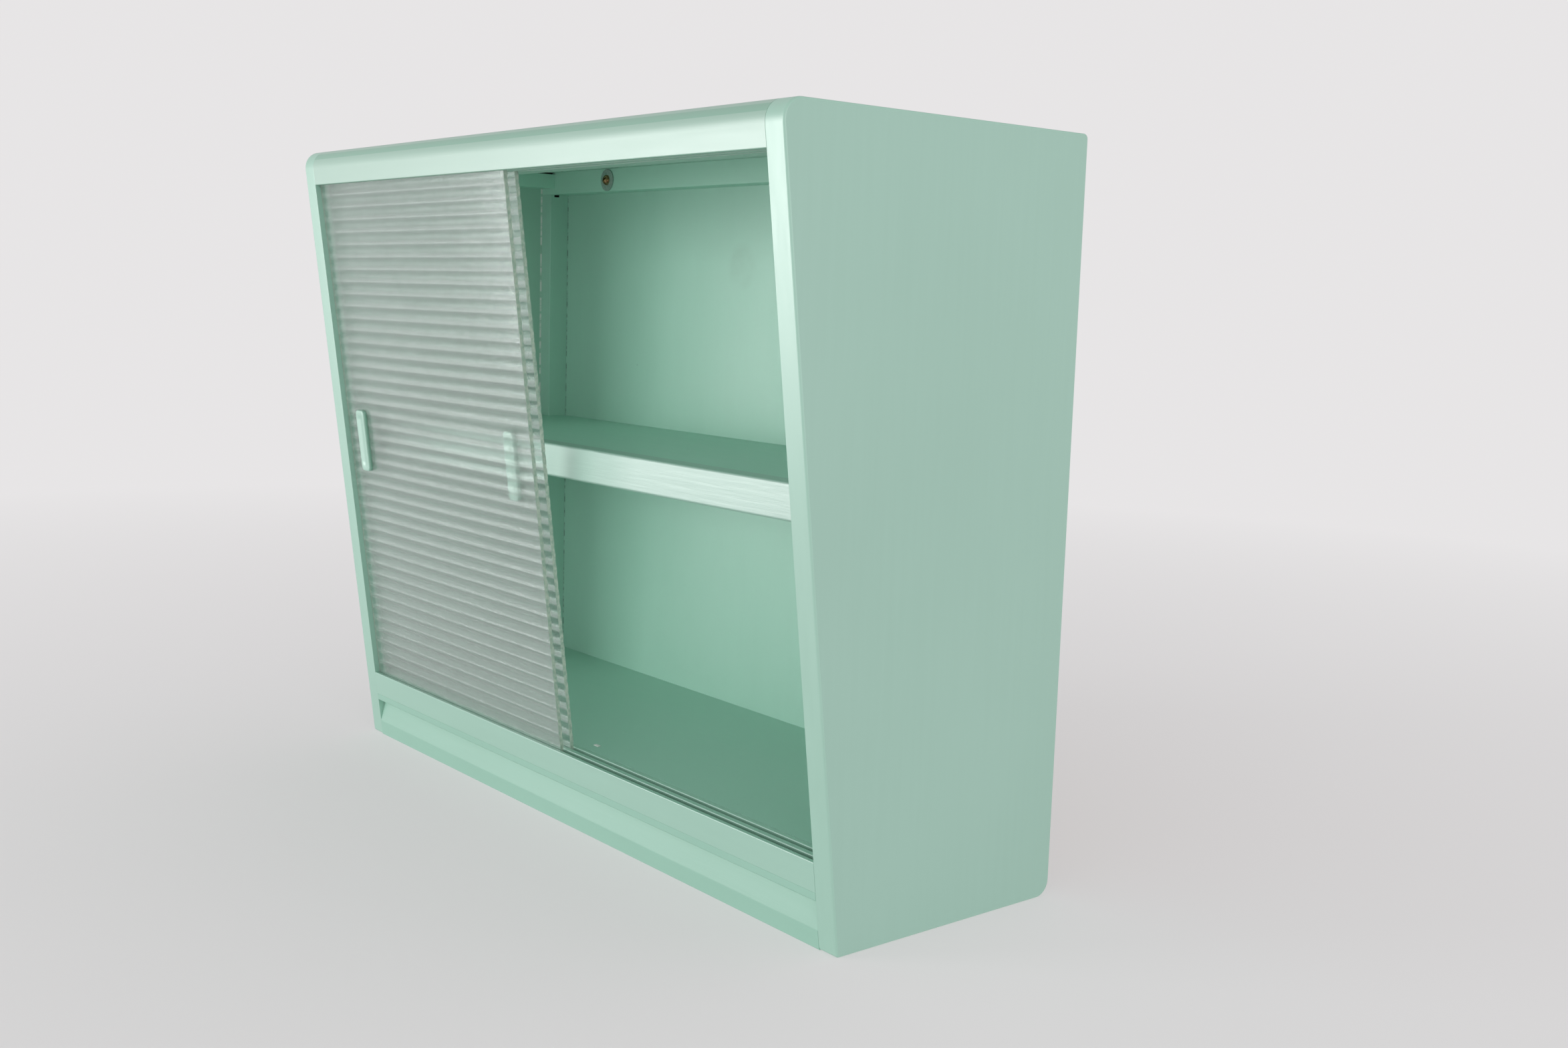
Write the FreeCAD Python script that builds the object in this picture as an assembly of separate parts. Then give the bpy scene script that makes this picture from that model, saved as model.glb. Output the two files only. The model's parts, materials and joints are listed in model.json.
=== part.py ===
import FreeCAD, Part
import math
import os

os.makedirs("parts", exist_ok=True)
Vector = FreeCAD.Vector

# Wall cabinet of painted boards with two sliding panes of ribbed glass.
# X runs to the right, Y into the wall and Z up. The origin is under the middle of the cabinet.

# Overall sizes. The front leans out: the cabinet is deeper at the top than at the bottom.
width = 752.0
height = 600.0
depth_top = 300.0
depth_bottom = 226.0

# Side panels
side_thickness = 20.0
top_front_radius = 16.0
front_bottom_radius = 3.0
rear_bottom_radius = 13.0
rear_top_radius = 4.0

# Thin panels and the frame in front of the back panel
back_recess = 11.0
back_panel_thickness = 4.5
top_panel_thickness = 4.0
rear_frame_depth = 21.5
hanging_rail_height = 22.6
rear_batten_width = 17.0
top_batten_width = 25.0
top_batten_height = 16.4

# Front rails: the rail over the doors, the sill under them and the apron under the sill
top_rail_height = 33.2
top_rail_depth = 36.0
top_rail_rebate = 12.0
sill_top = 68.0
sill_height = 23.4
sill_depth = 26.0
apron_thickness = 18.0
apron_fillet_height = 6.6
apron_step_depth = 7.0
apron_step_slope = 1.0
apron_foot_height = 15.0

# Floor of the lower compartment, a little higher at the back than at the sill
floor_thickness = 9.0
floor_rise = 6.5
floor_rail_height = 20.0
floor_cleat_width = 16.0
floor_cleat_height = 16.0

# Shelf
shelf_top = 335.0
shelf_depth = 195.0
shelf_thickness = 18.0
lipping_thickness = 18.0
lipping_height = 29.5
shelf_cleat_width = 16.0
shelf_cleat_height = 16.0

# Doors: smooth in front, ribbed behind, standing in grooves that follow the leaning front
door_setback = 5.0
door_pitch = 10.5
door_overlap = 8.0
door_top_engagement = 7.0
door_lift = 7.0
sill_groove_depth = 6.0
glass_base = 3.0
rib_height = 0.9
rib_pitch = 12.0

# Pulls glued to the panes
pull_width = 17.0
pull_height = 61.5
pull_thickness = 4.0
pull_corner_radius = 4.5
pull_edge_radius = 1.2
pull_centre_height = 316.0
dish_width = 10.5
dish_depth = 0.8
dish_end_margin = 5.0
pad_thickness = 0.4
pad_inset = 1.5
front_pull_inset = 27.0
rear_pull_inset = 37.0

# Wall fixing
hanging_hole_spacing = 456.0
hanging_hole_radius = 2.75
washer_radius = 11.0
washer_thickness = 1.2

# Dowels, screws and pins
dowel_radius = 3.0
dowel_in_side = 12.0
dowel_in_rail = 20.0
screw_radius = 1.6
screw_head_radius = 3.4
screw_head_height = 2.0
screw_in_side = 13.0
pin_radius = 0.7
pin_head_radius = 1.6
pin_head_height = 0.6
pin_length = 18.0

# Clearances, and the overrun of every cut
groove_clearance = 0.6
door_seat_clearance = 0.3
door_stop_clearance = 0.5
notch_clearance = 0.3
fixing_clearance = 0.05
overrun = 2.0

# Places of the fixings, as shares of the piece that carries them
top_dowel_depth_shares = (0.35, 0.75)
top_dowel_height_share = 0.72
sill_dowel_depth_shares = (0.3, 0.75)
sill_dowel_height_share = 0.35
apron_dowel_depth_share = 0.65
apron_dowel_height_shares = (0.18, 0.62)
hanging_dowel_height_shares = (0.28, 0.72)
batten_screw_height_shares = (0.08, 0.45, 0.92)
cleat_screw_depth_shares = (0.15, 0.85)
back_pin_width_shares = (-0.36, -0.12, 0.12, 0.36)
back_pin_height_shares = (0.2, 0.4, 0.6, 0.8)
top_pin_width_shares = (-0.42, -0.2, 0.0, 0.2, 0.42)
top_pin_depth_shares = (0.3, 0.7)

# Levels and planes that several pieces share
lean = math.atan2(depth_top - depth_bottom, height)
top_corner_loss = top_front_radius * (1 + math.sin(lean) - math.cos(lean)) / math.cos(lean)
overall_depth = depth_top - top_corner_loss
back_y = overall_depth / 2
panel_rear_y = back_y - back_recess
panel_front_y = panel_rear_y - back_panel_thickness
frame_front_y = panel_front_y - rear_frame_depth
inner_width = width - 2 * side_thickness
inner_x = inner_width / 2
ceiling_z = height - top_panel_thickness
hanging_rail_bottom = ceiling_z - hanging_rail_height
top_rail_bottom = height - top_rail_height
sill_bottom = sill_top - sill_height
shelf_bottom = shelf_top - shelf_thickness
shelf_front_y = panel_front_y - shelf_depth
shelf_board_front_y = shelf_front_y + lipping_thickness


def front_y(z):
    return back_y - depth_bottom - (depth_top - depth_bottom) * z / height


top_rail_rear_y = front_y(top_rail_bottom) + top_rail_depth
sill_rear_y = front_y(sill_top) + sill_depth

# The doors, measured up the leaning front from its lower edge
glass_thickness = glass_base + rib_height
groove_width = glass_thickness + 2 * groove_clearance
groove_floor = (sill_top - sill_groove_depth) / math.cos(lean)
door_bottom = groove_floor + door_seat_clearance
door_top = (top_rail_bottom + door_top_engagement) / math.cos(lean)
door_height = door_top - door_bottom
door_width = (inner_width + door_overlap) / 2 - door_stop_clearance
door_left_x = -inner_x + door_stop_clearance


def floor_top(y):
    return sill_top + floor_rise * (y - sill_rear_y) / (panel_front_y - sill_rear_y)


def floor_under(y):
    return floor_top(y) - floor_thickness


# Ways of making a piece

def box(x, y, z, size_x, size_y, size_z):
    return Part.makeBox(size_x, size_y, size_z, Vector(x, y, z))


def prism(outline, x, length):
    """A board with the given Y, Z outline, running along X."""
    corners = [Vector(x, y, z) for y, z in outline]
    return Part.Face(Part.makePolygon(corners + corners[:1])).extrude(Vector(length, 0, 0))


def rounded_prism(corners, x, length):
    """A board along X whose outline has a radius at each Y, Z corner; zero leaves it sharp."""
    edges = []
    ends = []
    for i, (y, z, radius) in enumerate(corners):
        corner = Vector(x, y, z)
        before = Vector(x, *corners[i - 1][:2]) - corner
        after = Vector(x, *corners[(i + 1) % len(corners)][:2]) - corner
        if radius == 0:
            ends.append((corner, corner))
            continue
        half_angle = before.getAngle(after) / 2
        run = radius / math.tan(half_angle)
        inwards = (before.normalize() + after.normalize()).normalize()
        middle = corner + inwards * (radius / math.sin(half_angle) - radius)
        start = corner + before * run
        end = corner + after * run
        edges.append(Part.Arc(start, middle, end).toShape())
        ends.append((start, end))
    for (_, leave), (arrive, _) in zip(ends, ends[1:] + ends[:1]):
        edges.append(Part.makeLine(leave, arrive))
    wire = Part.Wire(Part.__sortEdges__(edges))
    return Part.Face(wire).extrude(Vector(length, 0, 0))


def on_front(shape):
    """Tilt a shape drawn on an upright front until it follows the leaning one."""
    tilted = shape.copy()
    tilted.rotate(Vector(0, front_y(0), 0), Vector(1, 0, 0), math.degrees(lean))
    return tilted


def export(name, shape):
    shape.exportStep(f"parts/{name}.step")


# Places of the fixings

def rail_dowel_places():
    """Y, Z of every dowel at one end of the rails."""
    places = []
    for share in top_dowel_depth_shares:
        z = top_rail_bottom + top_dowel_height_share * top_rail_height
        places.append((front_y(top_rail_bottom) + share * top_rail_depth, z))
    for share in sill_dowel_depth_shares:
        z = sill_bottom + sill_dowel_height_share * sill_height
        places.append((front_y(z) + share * sill_depth, z))
    for share in apron_dowel_height_shares:
        z = share * sill_bottom
        places.append((front_y(z) + apron_dowel_depth_share * apron_thickness, z))
    frame_middle_y = (frame_front_y + panel_front_y) / 2
    for share in hanging_dowel_height_shares:
        places.append((frame_middle_y, hanging_rail_bottom + share * hanging_rail_height))
    places.append((frame_middle_y, floor_under(frame_middle_y) - floor_rail_height / 2))
    return places


def dowels(clearance):
    """Every dowel, or with a clearance every dowel hole, at both ends of the rails."""
    solids = []
    for side in (-1, 1):
        for y, z in rail_dowel_places():
            start = Vector(side * (inner_x - dowel_in_rail - clearance), y, z)
            length = dowel_in_rail + dowel_in_side + 2 * clearance
            solids.append(Part.makeCylinder(dowel_radius + clearance, length, start, Vector(side, 0, 0)))
    return Part.makeCompound(solids)


def screw_places():
    """Y, Z and thickness of the batten for every screw on one side."""
    places = []
    frame_middle_y = (frame_front_y + panel_front_y) / 2
    batten_bottom = floor_top(frame_middle_y)
    for share in batten_screw_height_shares:
        z = batten_bottom + share * (hanging_rail_bottom - batten_bottom)
        places.append((frame_middle_y, z, rear_batten_width))
    for share in cleat_screw_depth_shares:
        y = top_rail_rear_y + share * (frame_front_y - top_rail_rear_y)
        places.append((y, ceiling_z - top_batten_height / 2, top_batten_width))
        y = shelf_board_front_y + share * (frame_front_y - shelf_board_front_y)
        places.append((y, shelf_bottom - shelf_cleat_height / 2, shelf_cleat_width))
        y = sill_rear_y + share * (frame_front_y - sill_rear_y)
        places.append((y, floor_under(y) - floor_cleat_height / 2, floor_cleat_width))
    return places


def screws(clearance):
    """Every countersunk screw, or with a clearance every screw hole."""
    solids = []
    for side in (-1, 1):
        way = Vector(side, 0, 0)
        for y, z, grip in screw_places():
            start = Vector(side * (inner_x - grip), y, z)
            head = Part.makeCone(screw_head_radius + clearance, screw_radius + clearance,
                                 screw_head_height, start, way)
            shank = Part.makeCylinder(screw_radius + clearance, grip + screw_in_side + clearance, start, way)
            solids.append(head.fuse(shank))
    return Part.makeCompound(solids)


def pins(places, way, clearance):
    """Flat-head pins set flush in a panel's outer face, or with a clearance their holes."""
    solids = []
    for place in places:
        head = Part.makeCylinder(pin_head_radius + clearance, pin_head_height + clearance, place, way)
        shank = Part.makeCylinder(pin_radius + clearance, pin_length + clearance, place, way)
        solids.append(head.fuse(shank).removeSplitter())
    return Part.makeCompound(solids)


def back_pin_places():
    places = []
    frame_middle_y = (frame_front_y + panel_front_y) / 2
    rail_levels = (hanging_rail_bottom + hanging_rail_height / 2,
                   floor_under(frame_middle_y) - floor_rail_height / 2)
    for z in rail_levels:
        for share in back_pin_width_shares:
            places.append(Vector(share * inner_width, panel_rear_y, z))
    batten_bottom = floor_top(frame_middle_y)
    for side in (-1, 1):
        for share in back_pin_height_shares:
            z = batten_bottom + share * (hanging_rail_bottom - batten_bottom)
            places.append(Vector(side * (inner_x - rear_batten_width / 2), panel_rear_y, z))
    return places


def top_pin_places():
    places = []
    ledge_y = top_rail_rear_y - top_rail_rebate / 2
    frame_middle_y = (frame_front_y + panel_front_y) / 2
    for y in (ledge_y, frame_middle_y):
        for share in top_pin_width_shares:
            places.append(Vector(share * inner_width, y, height))
    for side in (-1, 1):
        for share in top_pin_depth_shares:
            y = top_rail_rear_y + share * (frame_front_y - top_rail_rear_y)
            places.append(Vector(side * (inner_x - top_batten_width / 2), y, height))
    return places


back_way = Vector(0, -1, 0)
down_way = Vector(0, 0, -1)
dowel_holes = dowels(fixing_clearance)
screw_holes = screws(fixing_clearance)
back_pin_holes = pins(back_pin_places(), back_way, fixing_clearance)
top_pin_holes = pins(top_pin_places(), down_way, fixing_clearance)


# Side panels: leaning front edge, rounded top front corner, blind holes for dowels and screws

def side_panel(x):
    corners = [(back_y, 0, rear_bottom_radius),
               (front_y(0), 0, front_bottom_radius),
               (front_y(height), height, top_front_radius),
               (back_y, height, rear_top_radius)]
    return rounded_prism(corners, x, side_thickness).cut(dowel_holes).cut(screw_holes)


export("side_panel_left", side_panel(-width / 2))
export("side_panel_right", side_panel(inner_x))


# Door grooves, cut along the leaning front

def groove(index, bottom, top):
    y = front_y(0) + door_setback + index * door_pitch - groove_clearance
    return on_front(box(-inner_x - overrun, y, bottom, inner_width + 2 * overrun, groove_width, top - bottom))


# Rail over the doors, rounded like the side panels and rebated for the top panel

def top_front_rail():
    rebate_y = top_rail_rear_y - top_rail_rebate
    corners = [(front_y(top_rail_bottom), top_rail_bottom, 0),
               (front_y(height), height, top_front_radius),
               (rebate_y, height, 0),
               (rebate_y, ceiling_z, 0),
               (top_rail_rear_y, ceiling_z, 0),
               (top_rail_rear_y, top_rail_bottom, 0)]
    rail = rounded_prism(corners, -inner_x, inner_width)
    for index in range(2):
        below = top_rail_bottom - (index + 1) * door_pitch - overrun
        rail = rail.cut(groove(index, below, door_top + door_lift))
    return rail.cut(dowel_holes).cut(top_pin_holes)


export("top_front_rail", top_front_rail())


# Sill with the two lower grooves

def sill_rail():
    outline = [(front_y(sill_bottom), sill_bottom),
               (front_y(sill_top), sill_top),
               (sill_rear_y, sill_top),
               (sill_rear_y, sill_bottom)]
    rail = prism(outline, -inner_x, inner_width)
    for index in range(2):
        rail = rail.cut(groove(index, groove_floor, sill_top / math.cos(lean) + overrun))
    return rail.cut(dowel_holes)


export("sill_rail", sill_rail())


# Apron: flush fillet under the sill, a step back, a sloped face and a flush foot

def apron_moulding():
    fillet_bottom = sill_bottom - apron_fillet_height
    step_bottom = fillet_bottom - apron_step_slope
    outline = [(front_y(0), 0),
               (front_y(apron_foot_height), apron_foot_height),
               (front_y(step_bottom) + apron_step_depth, step_bottom),
               (front_y(fillet_bottom), fillet_bottom),
               (front_y(sill_bottom), sill_bottom),
               (front_y(sill_bottom) + apron_thickness, sill_bottom),
               (front_y(0) + apron_thickness, 0)]
    return prism(outline, -inner_x, inner_width).cut(dowel_holes)


export("apron_moulding", apron_moulding())

# Thin panels: the top lies in the rail's rebate, the back stands under it between the sides

top_panel_front_y = top_rail_rear_y - top_rail_rebate
top_panel = box(-inner_x, top_panel_front_y, ceiling_z,
                inner_width, panel_rear_y - top_panel_front_y, top_panel_thickness)
export("top_panel", top_panel.cut(top_pin_holes))


def hanging_holes(y, length):
    """The two holes for wall screws, or two rods of that size."""
    z = hanging_rail_bottom + hanging_rail_height / 2
    rods = []
    for side in (-1, 1):
        start = Vector(side * hanging_hole_spacing / 2, y, z)
        rods.append(Part.makeCylinder(hanging_hole_radius, length, start, Vector(0, 1, 0)))
    return Part.makeCompound(rods)


back_panel_bottom = floor_under(panel_front_y) - floor_rail_height
rear_zone_holes = hanging_holes(frame_front_y - overrun, panel_rear_y - frame_front_y + 2 * overrun)
back_panel = box(-inner_x, panel_front_y, back_panel_bottom,
                 inner_width, back_panel_thickness, ceiling_z - back_panel_bottom)
export("back_panel", back_panel.cut(rear_zone_holes).cut(back_pin_holes))

# Rear frame: hanging rail on top, a batten in each corner and a rail under the floor

hanging_rail = box(-inner_x, frame_front_y, hanging_rail_bottom,
                   inner_width, rear_frame_depth, hanging_rail_height)
hanging_rail = hanging_rail.cut(rear_zone_holes).cut(dowel_holes)
export("hanging_rail", hanging_rail.cut(back_pin_holes).cut(top_pin_holes))


def rear_batten(x):
    outline = [(frame_front_y, floor_top(frame_front_y)),
               (frame_front_y, hanging_rail_bottom),
               (panel_front_y, hanging_rail_bottom),
               (panel_front_y, floor_top(panel_front_y))]
    return prism(outline, x, rear_batten_width).cut(screw_holes).cut(back_pin_holes)


export("rear_batten_left", rear_batten(-inner_x))
export("rear_batten_right", rear_batten(inner_x - rear_batten_width))


def floor_rear_rail():
    outline = [(frame_front_y, back_panel_bottom),
               (frame_front_y, floor_under(frame_front_y)),
               (panel_front_y, floor_under(panel_front_y)),
               (panel_front_y, back_panel_bottom)]
    return prism(outline, -inner_x, inner_width).cut(dowel_holes).cut(back_pin_holes)


export("floor_rear_rail", floor_rear_rail())


# Battens under the top panel

def top_batten(x):
    batten = box(x, top_rail_rear_y, ceiling_z - top_batten_height,
                 top_batten_width, frame_front_y - top_rail_rear_y, top_batten_height)
    return batten.cut(screw_holes).cut(top_pin_holes)


export("top_batten_left", top_batten(-inner_x))
export("top_batten_right", top_batten(inner_x - top_batten_width))

# Floor panel and the cleats that carry it

floor_outline = [(sill_rear_y, floor_under(sill_rear_y)),
                 (sill_rear_y, floor_top(sill_rear_y)),
                 (panel_front_y, floor_top(panel_front_y)),
                 (panel_front_y, floor_under(panel_front_y))]
export("floor_panel", prism(floor_outline, -inner_x, inner_width))


def floor_cleat(x):
    outline = [(sill_rear_y, floor_under(sill_rear_y) - floor_cleat_height),
               (sill_rear_y, floor_under(sill_rear_y)),
               (frame_front_y, floor_under(frame_front_y)),
               (frame_front_y, floor_under(frame_front_y) - floor_cleat_height)]
    return prism(outline, x, floor_cleat_width).cut(screw_holes)


export("floor_cleat_left", floor_cleat(-inner_x))
export("floor_cleat_right", floor_cleat(inner_x - floor_cleat_width))


# Shelf: a board notched around the rear battens, a deep lipping in front and a cleat at each end

def shelf_board():
    board = box(-inner_x, shelf_board_front_y, shelf_bottom,
                inner_width, panel_front_y - shelf_board_front_y, shelf_thickness)
    notch_width = rear_batten_width + notch_clearance + overrun
    notch_y = frame_front_y - notch_clearance
    for x in (-inner_x - overrun, inner_x + overrun - notch_width):
        board = board.cut(box(x, notch_y, shelf_bottom - overrun, notch_width,
                              panel_front_y - notch_y + overrun, shelf_thickness + 2 * overrun))
    return board


export("shelf_board", shelf_board())
export("shelf_lipping", box(-inner_x, shelf_front_y, shelf_top - lipping_height,
                            inner_width, lipping_thickness, lipping_height))


def shelf_cleat(x):
    cleat = box(x, shelf_board_front_y, shelf_bottom - shelf_cleat_height,
                shelf_cleat_width, frame_front_y - shelf_board_front_y, shelf_cleat_height)
    return cleat.cut(screw_holes)


export("shelf_cleat_left", shelf_cleat(-inner_x))
export("shelf_cleat_right", shelf_cleat(inner_x - shelf_cleat_width))


# Wall washers, dowels, screws and pins

def hanging_washers():
    washer_y = frame_front_y - washer_thickness
    z = hanging_rail_bottom + hanging_rail_height / 2
    washers = []
    for side in (-1, 1):
        start = Vector(side * hanging_hole_spacing / 2, washer_y, z)
        washer = Part.makeCylinder(washer_radius, washer_thickness, start, Vector(0, 1, 0))
        washers.append(washer.cut(rear_zone_holes))
    return Part.makeCompound([solid for washer in washers for solid in washer.Solids])


export("hanging_washers", hanging_washers())
export("rail_dowels", dowels(0))
export("batten_screws", screws(0))
export("back_panel_pins", pins(back_pin_places(), back_way, 0))
export("top_panel_pins", pins(top_pin_places(), down_way, 0))


# Doors: a pane whose rear face carries horizontal ribs, at rest against the left side

def door_glass(index):
    y = front_y(0) + door_setback + index * door_pitch
    rib_count = math.floor(door_height / rib_pitch)
    margin = (door_height - rib_count * rib_pitch) / 2

    def point(depth, rise):
        return Vector(door_left_x, y + depth, door_bottom + rise)

    first_rib = point(glass_base, margin)
    last_rib = point(glass_base, door_height - margin)
    edges = [Part.makeLine(last_rib, point(glass_base, door_height)),
             Part.makeLine(point(glass_base, door_height), point(0, door_height)),
             Part.makeLine(point(0, door_height), point(0, 0)),
             Part.makeLine(point(0, 0), point(glass_base, 0)),
             Part.makeLine(point(glass_base, 0), first_rib)]
    for i in range(rib_count):
        low = margin + i * rib_pitch
        crest = point(glass_thickness, low + rib_pitch / 2)
        arc = Part.Arc(point(glass_base, low), crest, point(glass_base, low + rib_pitch))
        edges.append(arc.toShape())
    wire = Part.Wire(Part.__sortEdges__(edges))
    return on_front(Part.Face(wire).extrude(Vector(door_width, 0, 0)))


def rounded_slab(x, y, z, size_x, size_y, size_z, radius):
    """An upright slab with rounded corners, seen from the front."""
    slab = box(x, y, z, size_x, size_y, size_z)
    corners = [edge for edge in slab.Edges if abs(edge.tangentAt(edge.FirstParameter).y) == 1]
    return slab.makeFillet(radius, corners)


def pull_pad(x, index):
    y = front_y(0) + door_setback + index * door_pitch - pad_thickness
    z = (pull_centre_height - pull_height / 2) / math.cos(lean) + pad_inset
    pad = rounded_slab(x + pad_inset, y, z, pull_width - 2 * pad_inset, pad_thickness,
                       pull_height - 2 * pad_inset, pull_corner_radius - pad_inset)
    return on_front(pad)


def door_pull(x, index):
    y = front_y(0) + door_setback + index * door_pitch - pad_thickness - pull_thickness
    z = (pull_centre_height - pull_height / 2) / math.cos(lean)
    pull = rounded_slab(x, y, z, pull_width, pull_thickness, pull_height, pull_corner_radius)
    rim = [edge for edge in pull.Edges if edge.BoundBox.YMax < y + pull_thickness / 2]
    pull = pull.makeFillet(pull_edge_radius, rim)
    dish_radius = (dish_width ** 2 / 4 + dish_depth ** 2) / (2 * dish_depth)
    centre_x = x + pull_width / 2
    centre_y = y + dish_depth - dish_radius
    low = z + dish_end_margin + dish_width / 2
    high = z + pull_height - dish_end_margin - dish_width / 2
    scoop = Part.makeCylinder(dish_radius, high - low, Vector(centre_x, centre_y, low))
    for end in (low, high):
        scoop = scoop.fuse(Part.makeSphere(dish_radius, Vector(centre_x, centre_y, end)))
    return on_front(pull.cut(scoop))


front_pull_x = door_left_x + front_pull_inset
rear_pull_x = door_left_x + door_width - rear_pull_inset - pull_width
for door, index, pull_x in (("front", 0, front_pull_x), ("rear", 1, rear_pull_x)):
    export(f"{door}_door_glass", door_glass(index))
    export(f"{door}_door_pull", door_pull(pull_x, index))
    export(f"{door}_pull_pad", pull_pad(pull_x, index))
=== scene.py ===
import json
import math

import bmesh
import bpy
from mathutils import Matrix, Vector


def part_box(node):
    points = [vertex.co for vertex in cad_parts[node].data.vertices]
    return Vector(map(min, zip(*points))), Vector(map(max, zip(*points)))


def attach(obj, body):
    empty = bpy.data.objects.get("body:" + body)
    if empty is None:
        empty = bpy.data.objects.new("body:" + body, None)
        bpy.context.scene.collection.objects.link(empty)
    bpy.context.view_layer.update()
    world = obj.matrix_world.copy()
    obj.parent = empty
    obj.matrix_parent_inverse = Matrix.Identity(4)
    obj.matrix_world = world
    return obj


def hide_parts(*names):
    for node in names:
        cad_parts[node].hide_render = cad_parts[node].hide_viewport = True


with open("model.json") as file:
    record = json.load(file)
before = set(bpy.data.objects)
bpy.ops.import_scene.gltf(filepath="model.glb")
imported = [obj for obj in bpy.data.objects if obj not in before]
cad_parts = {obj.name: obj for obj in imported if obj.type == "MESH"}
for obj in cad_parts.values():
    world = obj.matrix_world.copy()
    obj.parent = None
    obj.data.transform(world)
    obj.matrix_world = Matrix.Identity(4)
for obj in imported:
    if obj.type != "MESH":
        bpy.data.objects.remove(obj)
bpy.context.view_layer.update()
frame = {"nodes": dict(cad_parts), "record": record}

# Side panels: two boards of solid wood, wider at the top, with the upper front corner rounded.
# They are sawn to one pattern, rubbed down along the edges and brushed with satin mint paint, which
# is less glossy on the outer faces, where its greyer colour is a painted sheen. All the rails between them
# are dowelled into their inner faces.

top_depth = 0.300
bottom_depth = 0.226
top_front_radius = 0.016
front_bottom_radius = 0.003
rear_bottom_radius = 0.013
rear_top_radius = 0.004
outer_arris = 0.0022
inner_arris = 0.0004
side_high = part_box("side_panel_left")[1]
height = side_high.z
back_y = side_high.y
inner_x = -side_high.x
lean = math.atan2(top_depth - bottom_depth, height)
top_run = top_front_radius / math.tan((math.pi / 2 - lean) / 2)
foot_run = front_bottom_radius / math.tan((math.pi / 2 + lean) / 2)
touch = 1e-5


def front_y(z):
    """Y of the leaning front at this height."""
    return back_y - bottom_depth - z * math.tan(lean)


def near(value, target):
    return abs(value - target) < touch


def only(piece):
    """Make this piece the one that the operators act on."""
    bpy.ops.object.select_all(action="DESELECT")
    piece.select_set(True)
    bpy.context.view_layer.objects.active = piece


def board(name, outline, x, length):
    """A board along X: a face with the given Y, Z corners, extruded to its length."""
    bpy.ops.object.select_all(action="DESELECT")
    bpy.ops.mesh.primitive_circle_add(vertices=len(outline), fill_type="NGON")
    piece = bpy.context.object
    piece.name = piece.data.name = name
    for vertex, (y, z) in zip(piece.data.vertices, outline):
        vertex.co = (x, y, z)
    bpy.ops.object.mode_set(mode="EDIT")
    bpy.ops.mesh.select_all(action="SELECT")
    bpy.ops.mesh.extrude_region_move(TRANSFORM_OT_translate={"value": (length, 0, 0)})
    bpy.ops.mesh.select_all(action="SELECT")
    bpy.ops.mesh.normals_make_consistent(inside=False)
    bpy.ops.object.mode_set(mode="OBJECT")
    return piece


def bevel(piece, test, offset, steps):
    """Round the edges whose two ends pass the test."""
    only(piece)
    bpy.ops.object.mode_set(mode="EDIT")
    bpy.ops.mesh.select_mode(type="EDGE")
    bpy.ops.mesh.select_all(action="DESELECT")
    shape = bmesh.from_edit_mesh(piece.data)
    for edge in shape.edges:
        edge.select_set(all(test(end.co) for end in edge.verts))
    bmesh.update_edit_mesh(piece.data)
    bpy.ops.mesh.bevel(offset=offset, segments=steps, profile=0.5, affect="EDGES", clamp_overlap=False)
    bpy.ops.object.mode_set(mode="OBJECT")


def at(y, z):
    """A test for points on the line along X through this Y and Z."""
    return lambda place: near(place.y, y) and near(place.z, z)


def smooth(piece, degrees=40):
    """Smooth shading over the rounded edges that keeps the flat faces flat."""
    only(piece)
    bpy.ops.object.shade_smooth_by_angle(angle=math.radians(degrees))
    weighted = piece.modifiers.new("Flat faces", "WEIGHTED_NORMAL")
    weighted.keep_sharp = True
    bpy.ops.object.modifier_apply(modifier=weighted.name)


def side_panel(name, node_name):
    """A leaning side with its corners rounded and its arrises rubbed down."""
    low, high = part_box(node_name)
    outline = [(back_y, 0), (front_y(0), 0), (front_y(height), height), (back_y, height)]
    piece = board(name, outline, low.x, high.x - low.x)
    bevel(piece, at(front_y(height), height), top_run, 12)
    bevel(piece, at(front_y(0), 0), foot_run, 4)
    bevel(piece, at(back_y, 0), rear_bottom_radius, 10)
    bevel(piece, at(back_y, height), rear_top_radius, 5)
    outer = low.x if low.x < 0 else high.x
    inner = high.x if low.x < 0 else low.x
    bevel(piece, lambda place: near(place.x, outer), outer_arris, 5)
    bevel(piece, lambda place: near(place.x, inner), inner_arris, 2)
    smooth(piece)
    return piece


def node(tree, kind, sockets=(), **settings):
    """A shader node with its settings, its sockets set to values or linked to other sockets."""
    made = tree.nodes.new("ShaderNode" + kind)
    for key, value in settings.items():
        setattr(made, key, value)
    for key, value in dict(sockets).items():
        if isinstance(value, bpy.types.NodeSocket):
            tree.links.new(value, made.inputs[key])
        else:
            made.inputs[key].default_value = value
    return made


def new_finish(name):
    """A new material, with its node tree, its shader and the coordinates of the piece that wears it."""
    material = bpy.data.materials.new(name)
    material.use_nodes = True
    tree = material.node_tree
    return material, tree, tree.nodes["Principled BSDF"], node(tree, "TexCoord").outputs["Object"]


def blend_colours(tree, share, first, second):
    """A colour between two colours or sockets, by a share."""
    return node(tree, "Mix", {0: share, 6: first, 7: second}, data_type="RGBA").outputs[2]


def stretch(tree, start, end, value, low=0.0, high=1.0):
    """A value between start and end, spread from low to high and held there beyond."""
    sockets = {"Value": value, "From Min": start, "From Max": end, "To Min": low, "To Max": high}
    return node(tree, "MapRange", sockets).outputs[0]


def both(tree, first, second):
    """The product of two masks."""
    return node(tree, "Math", {0: first, 1: second}, operation="MULTIPLY").outputs[0]


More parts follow.
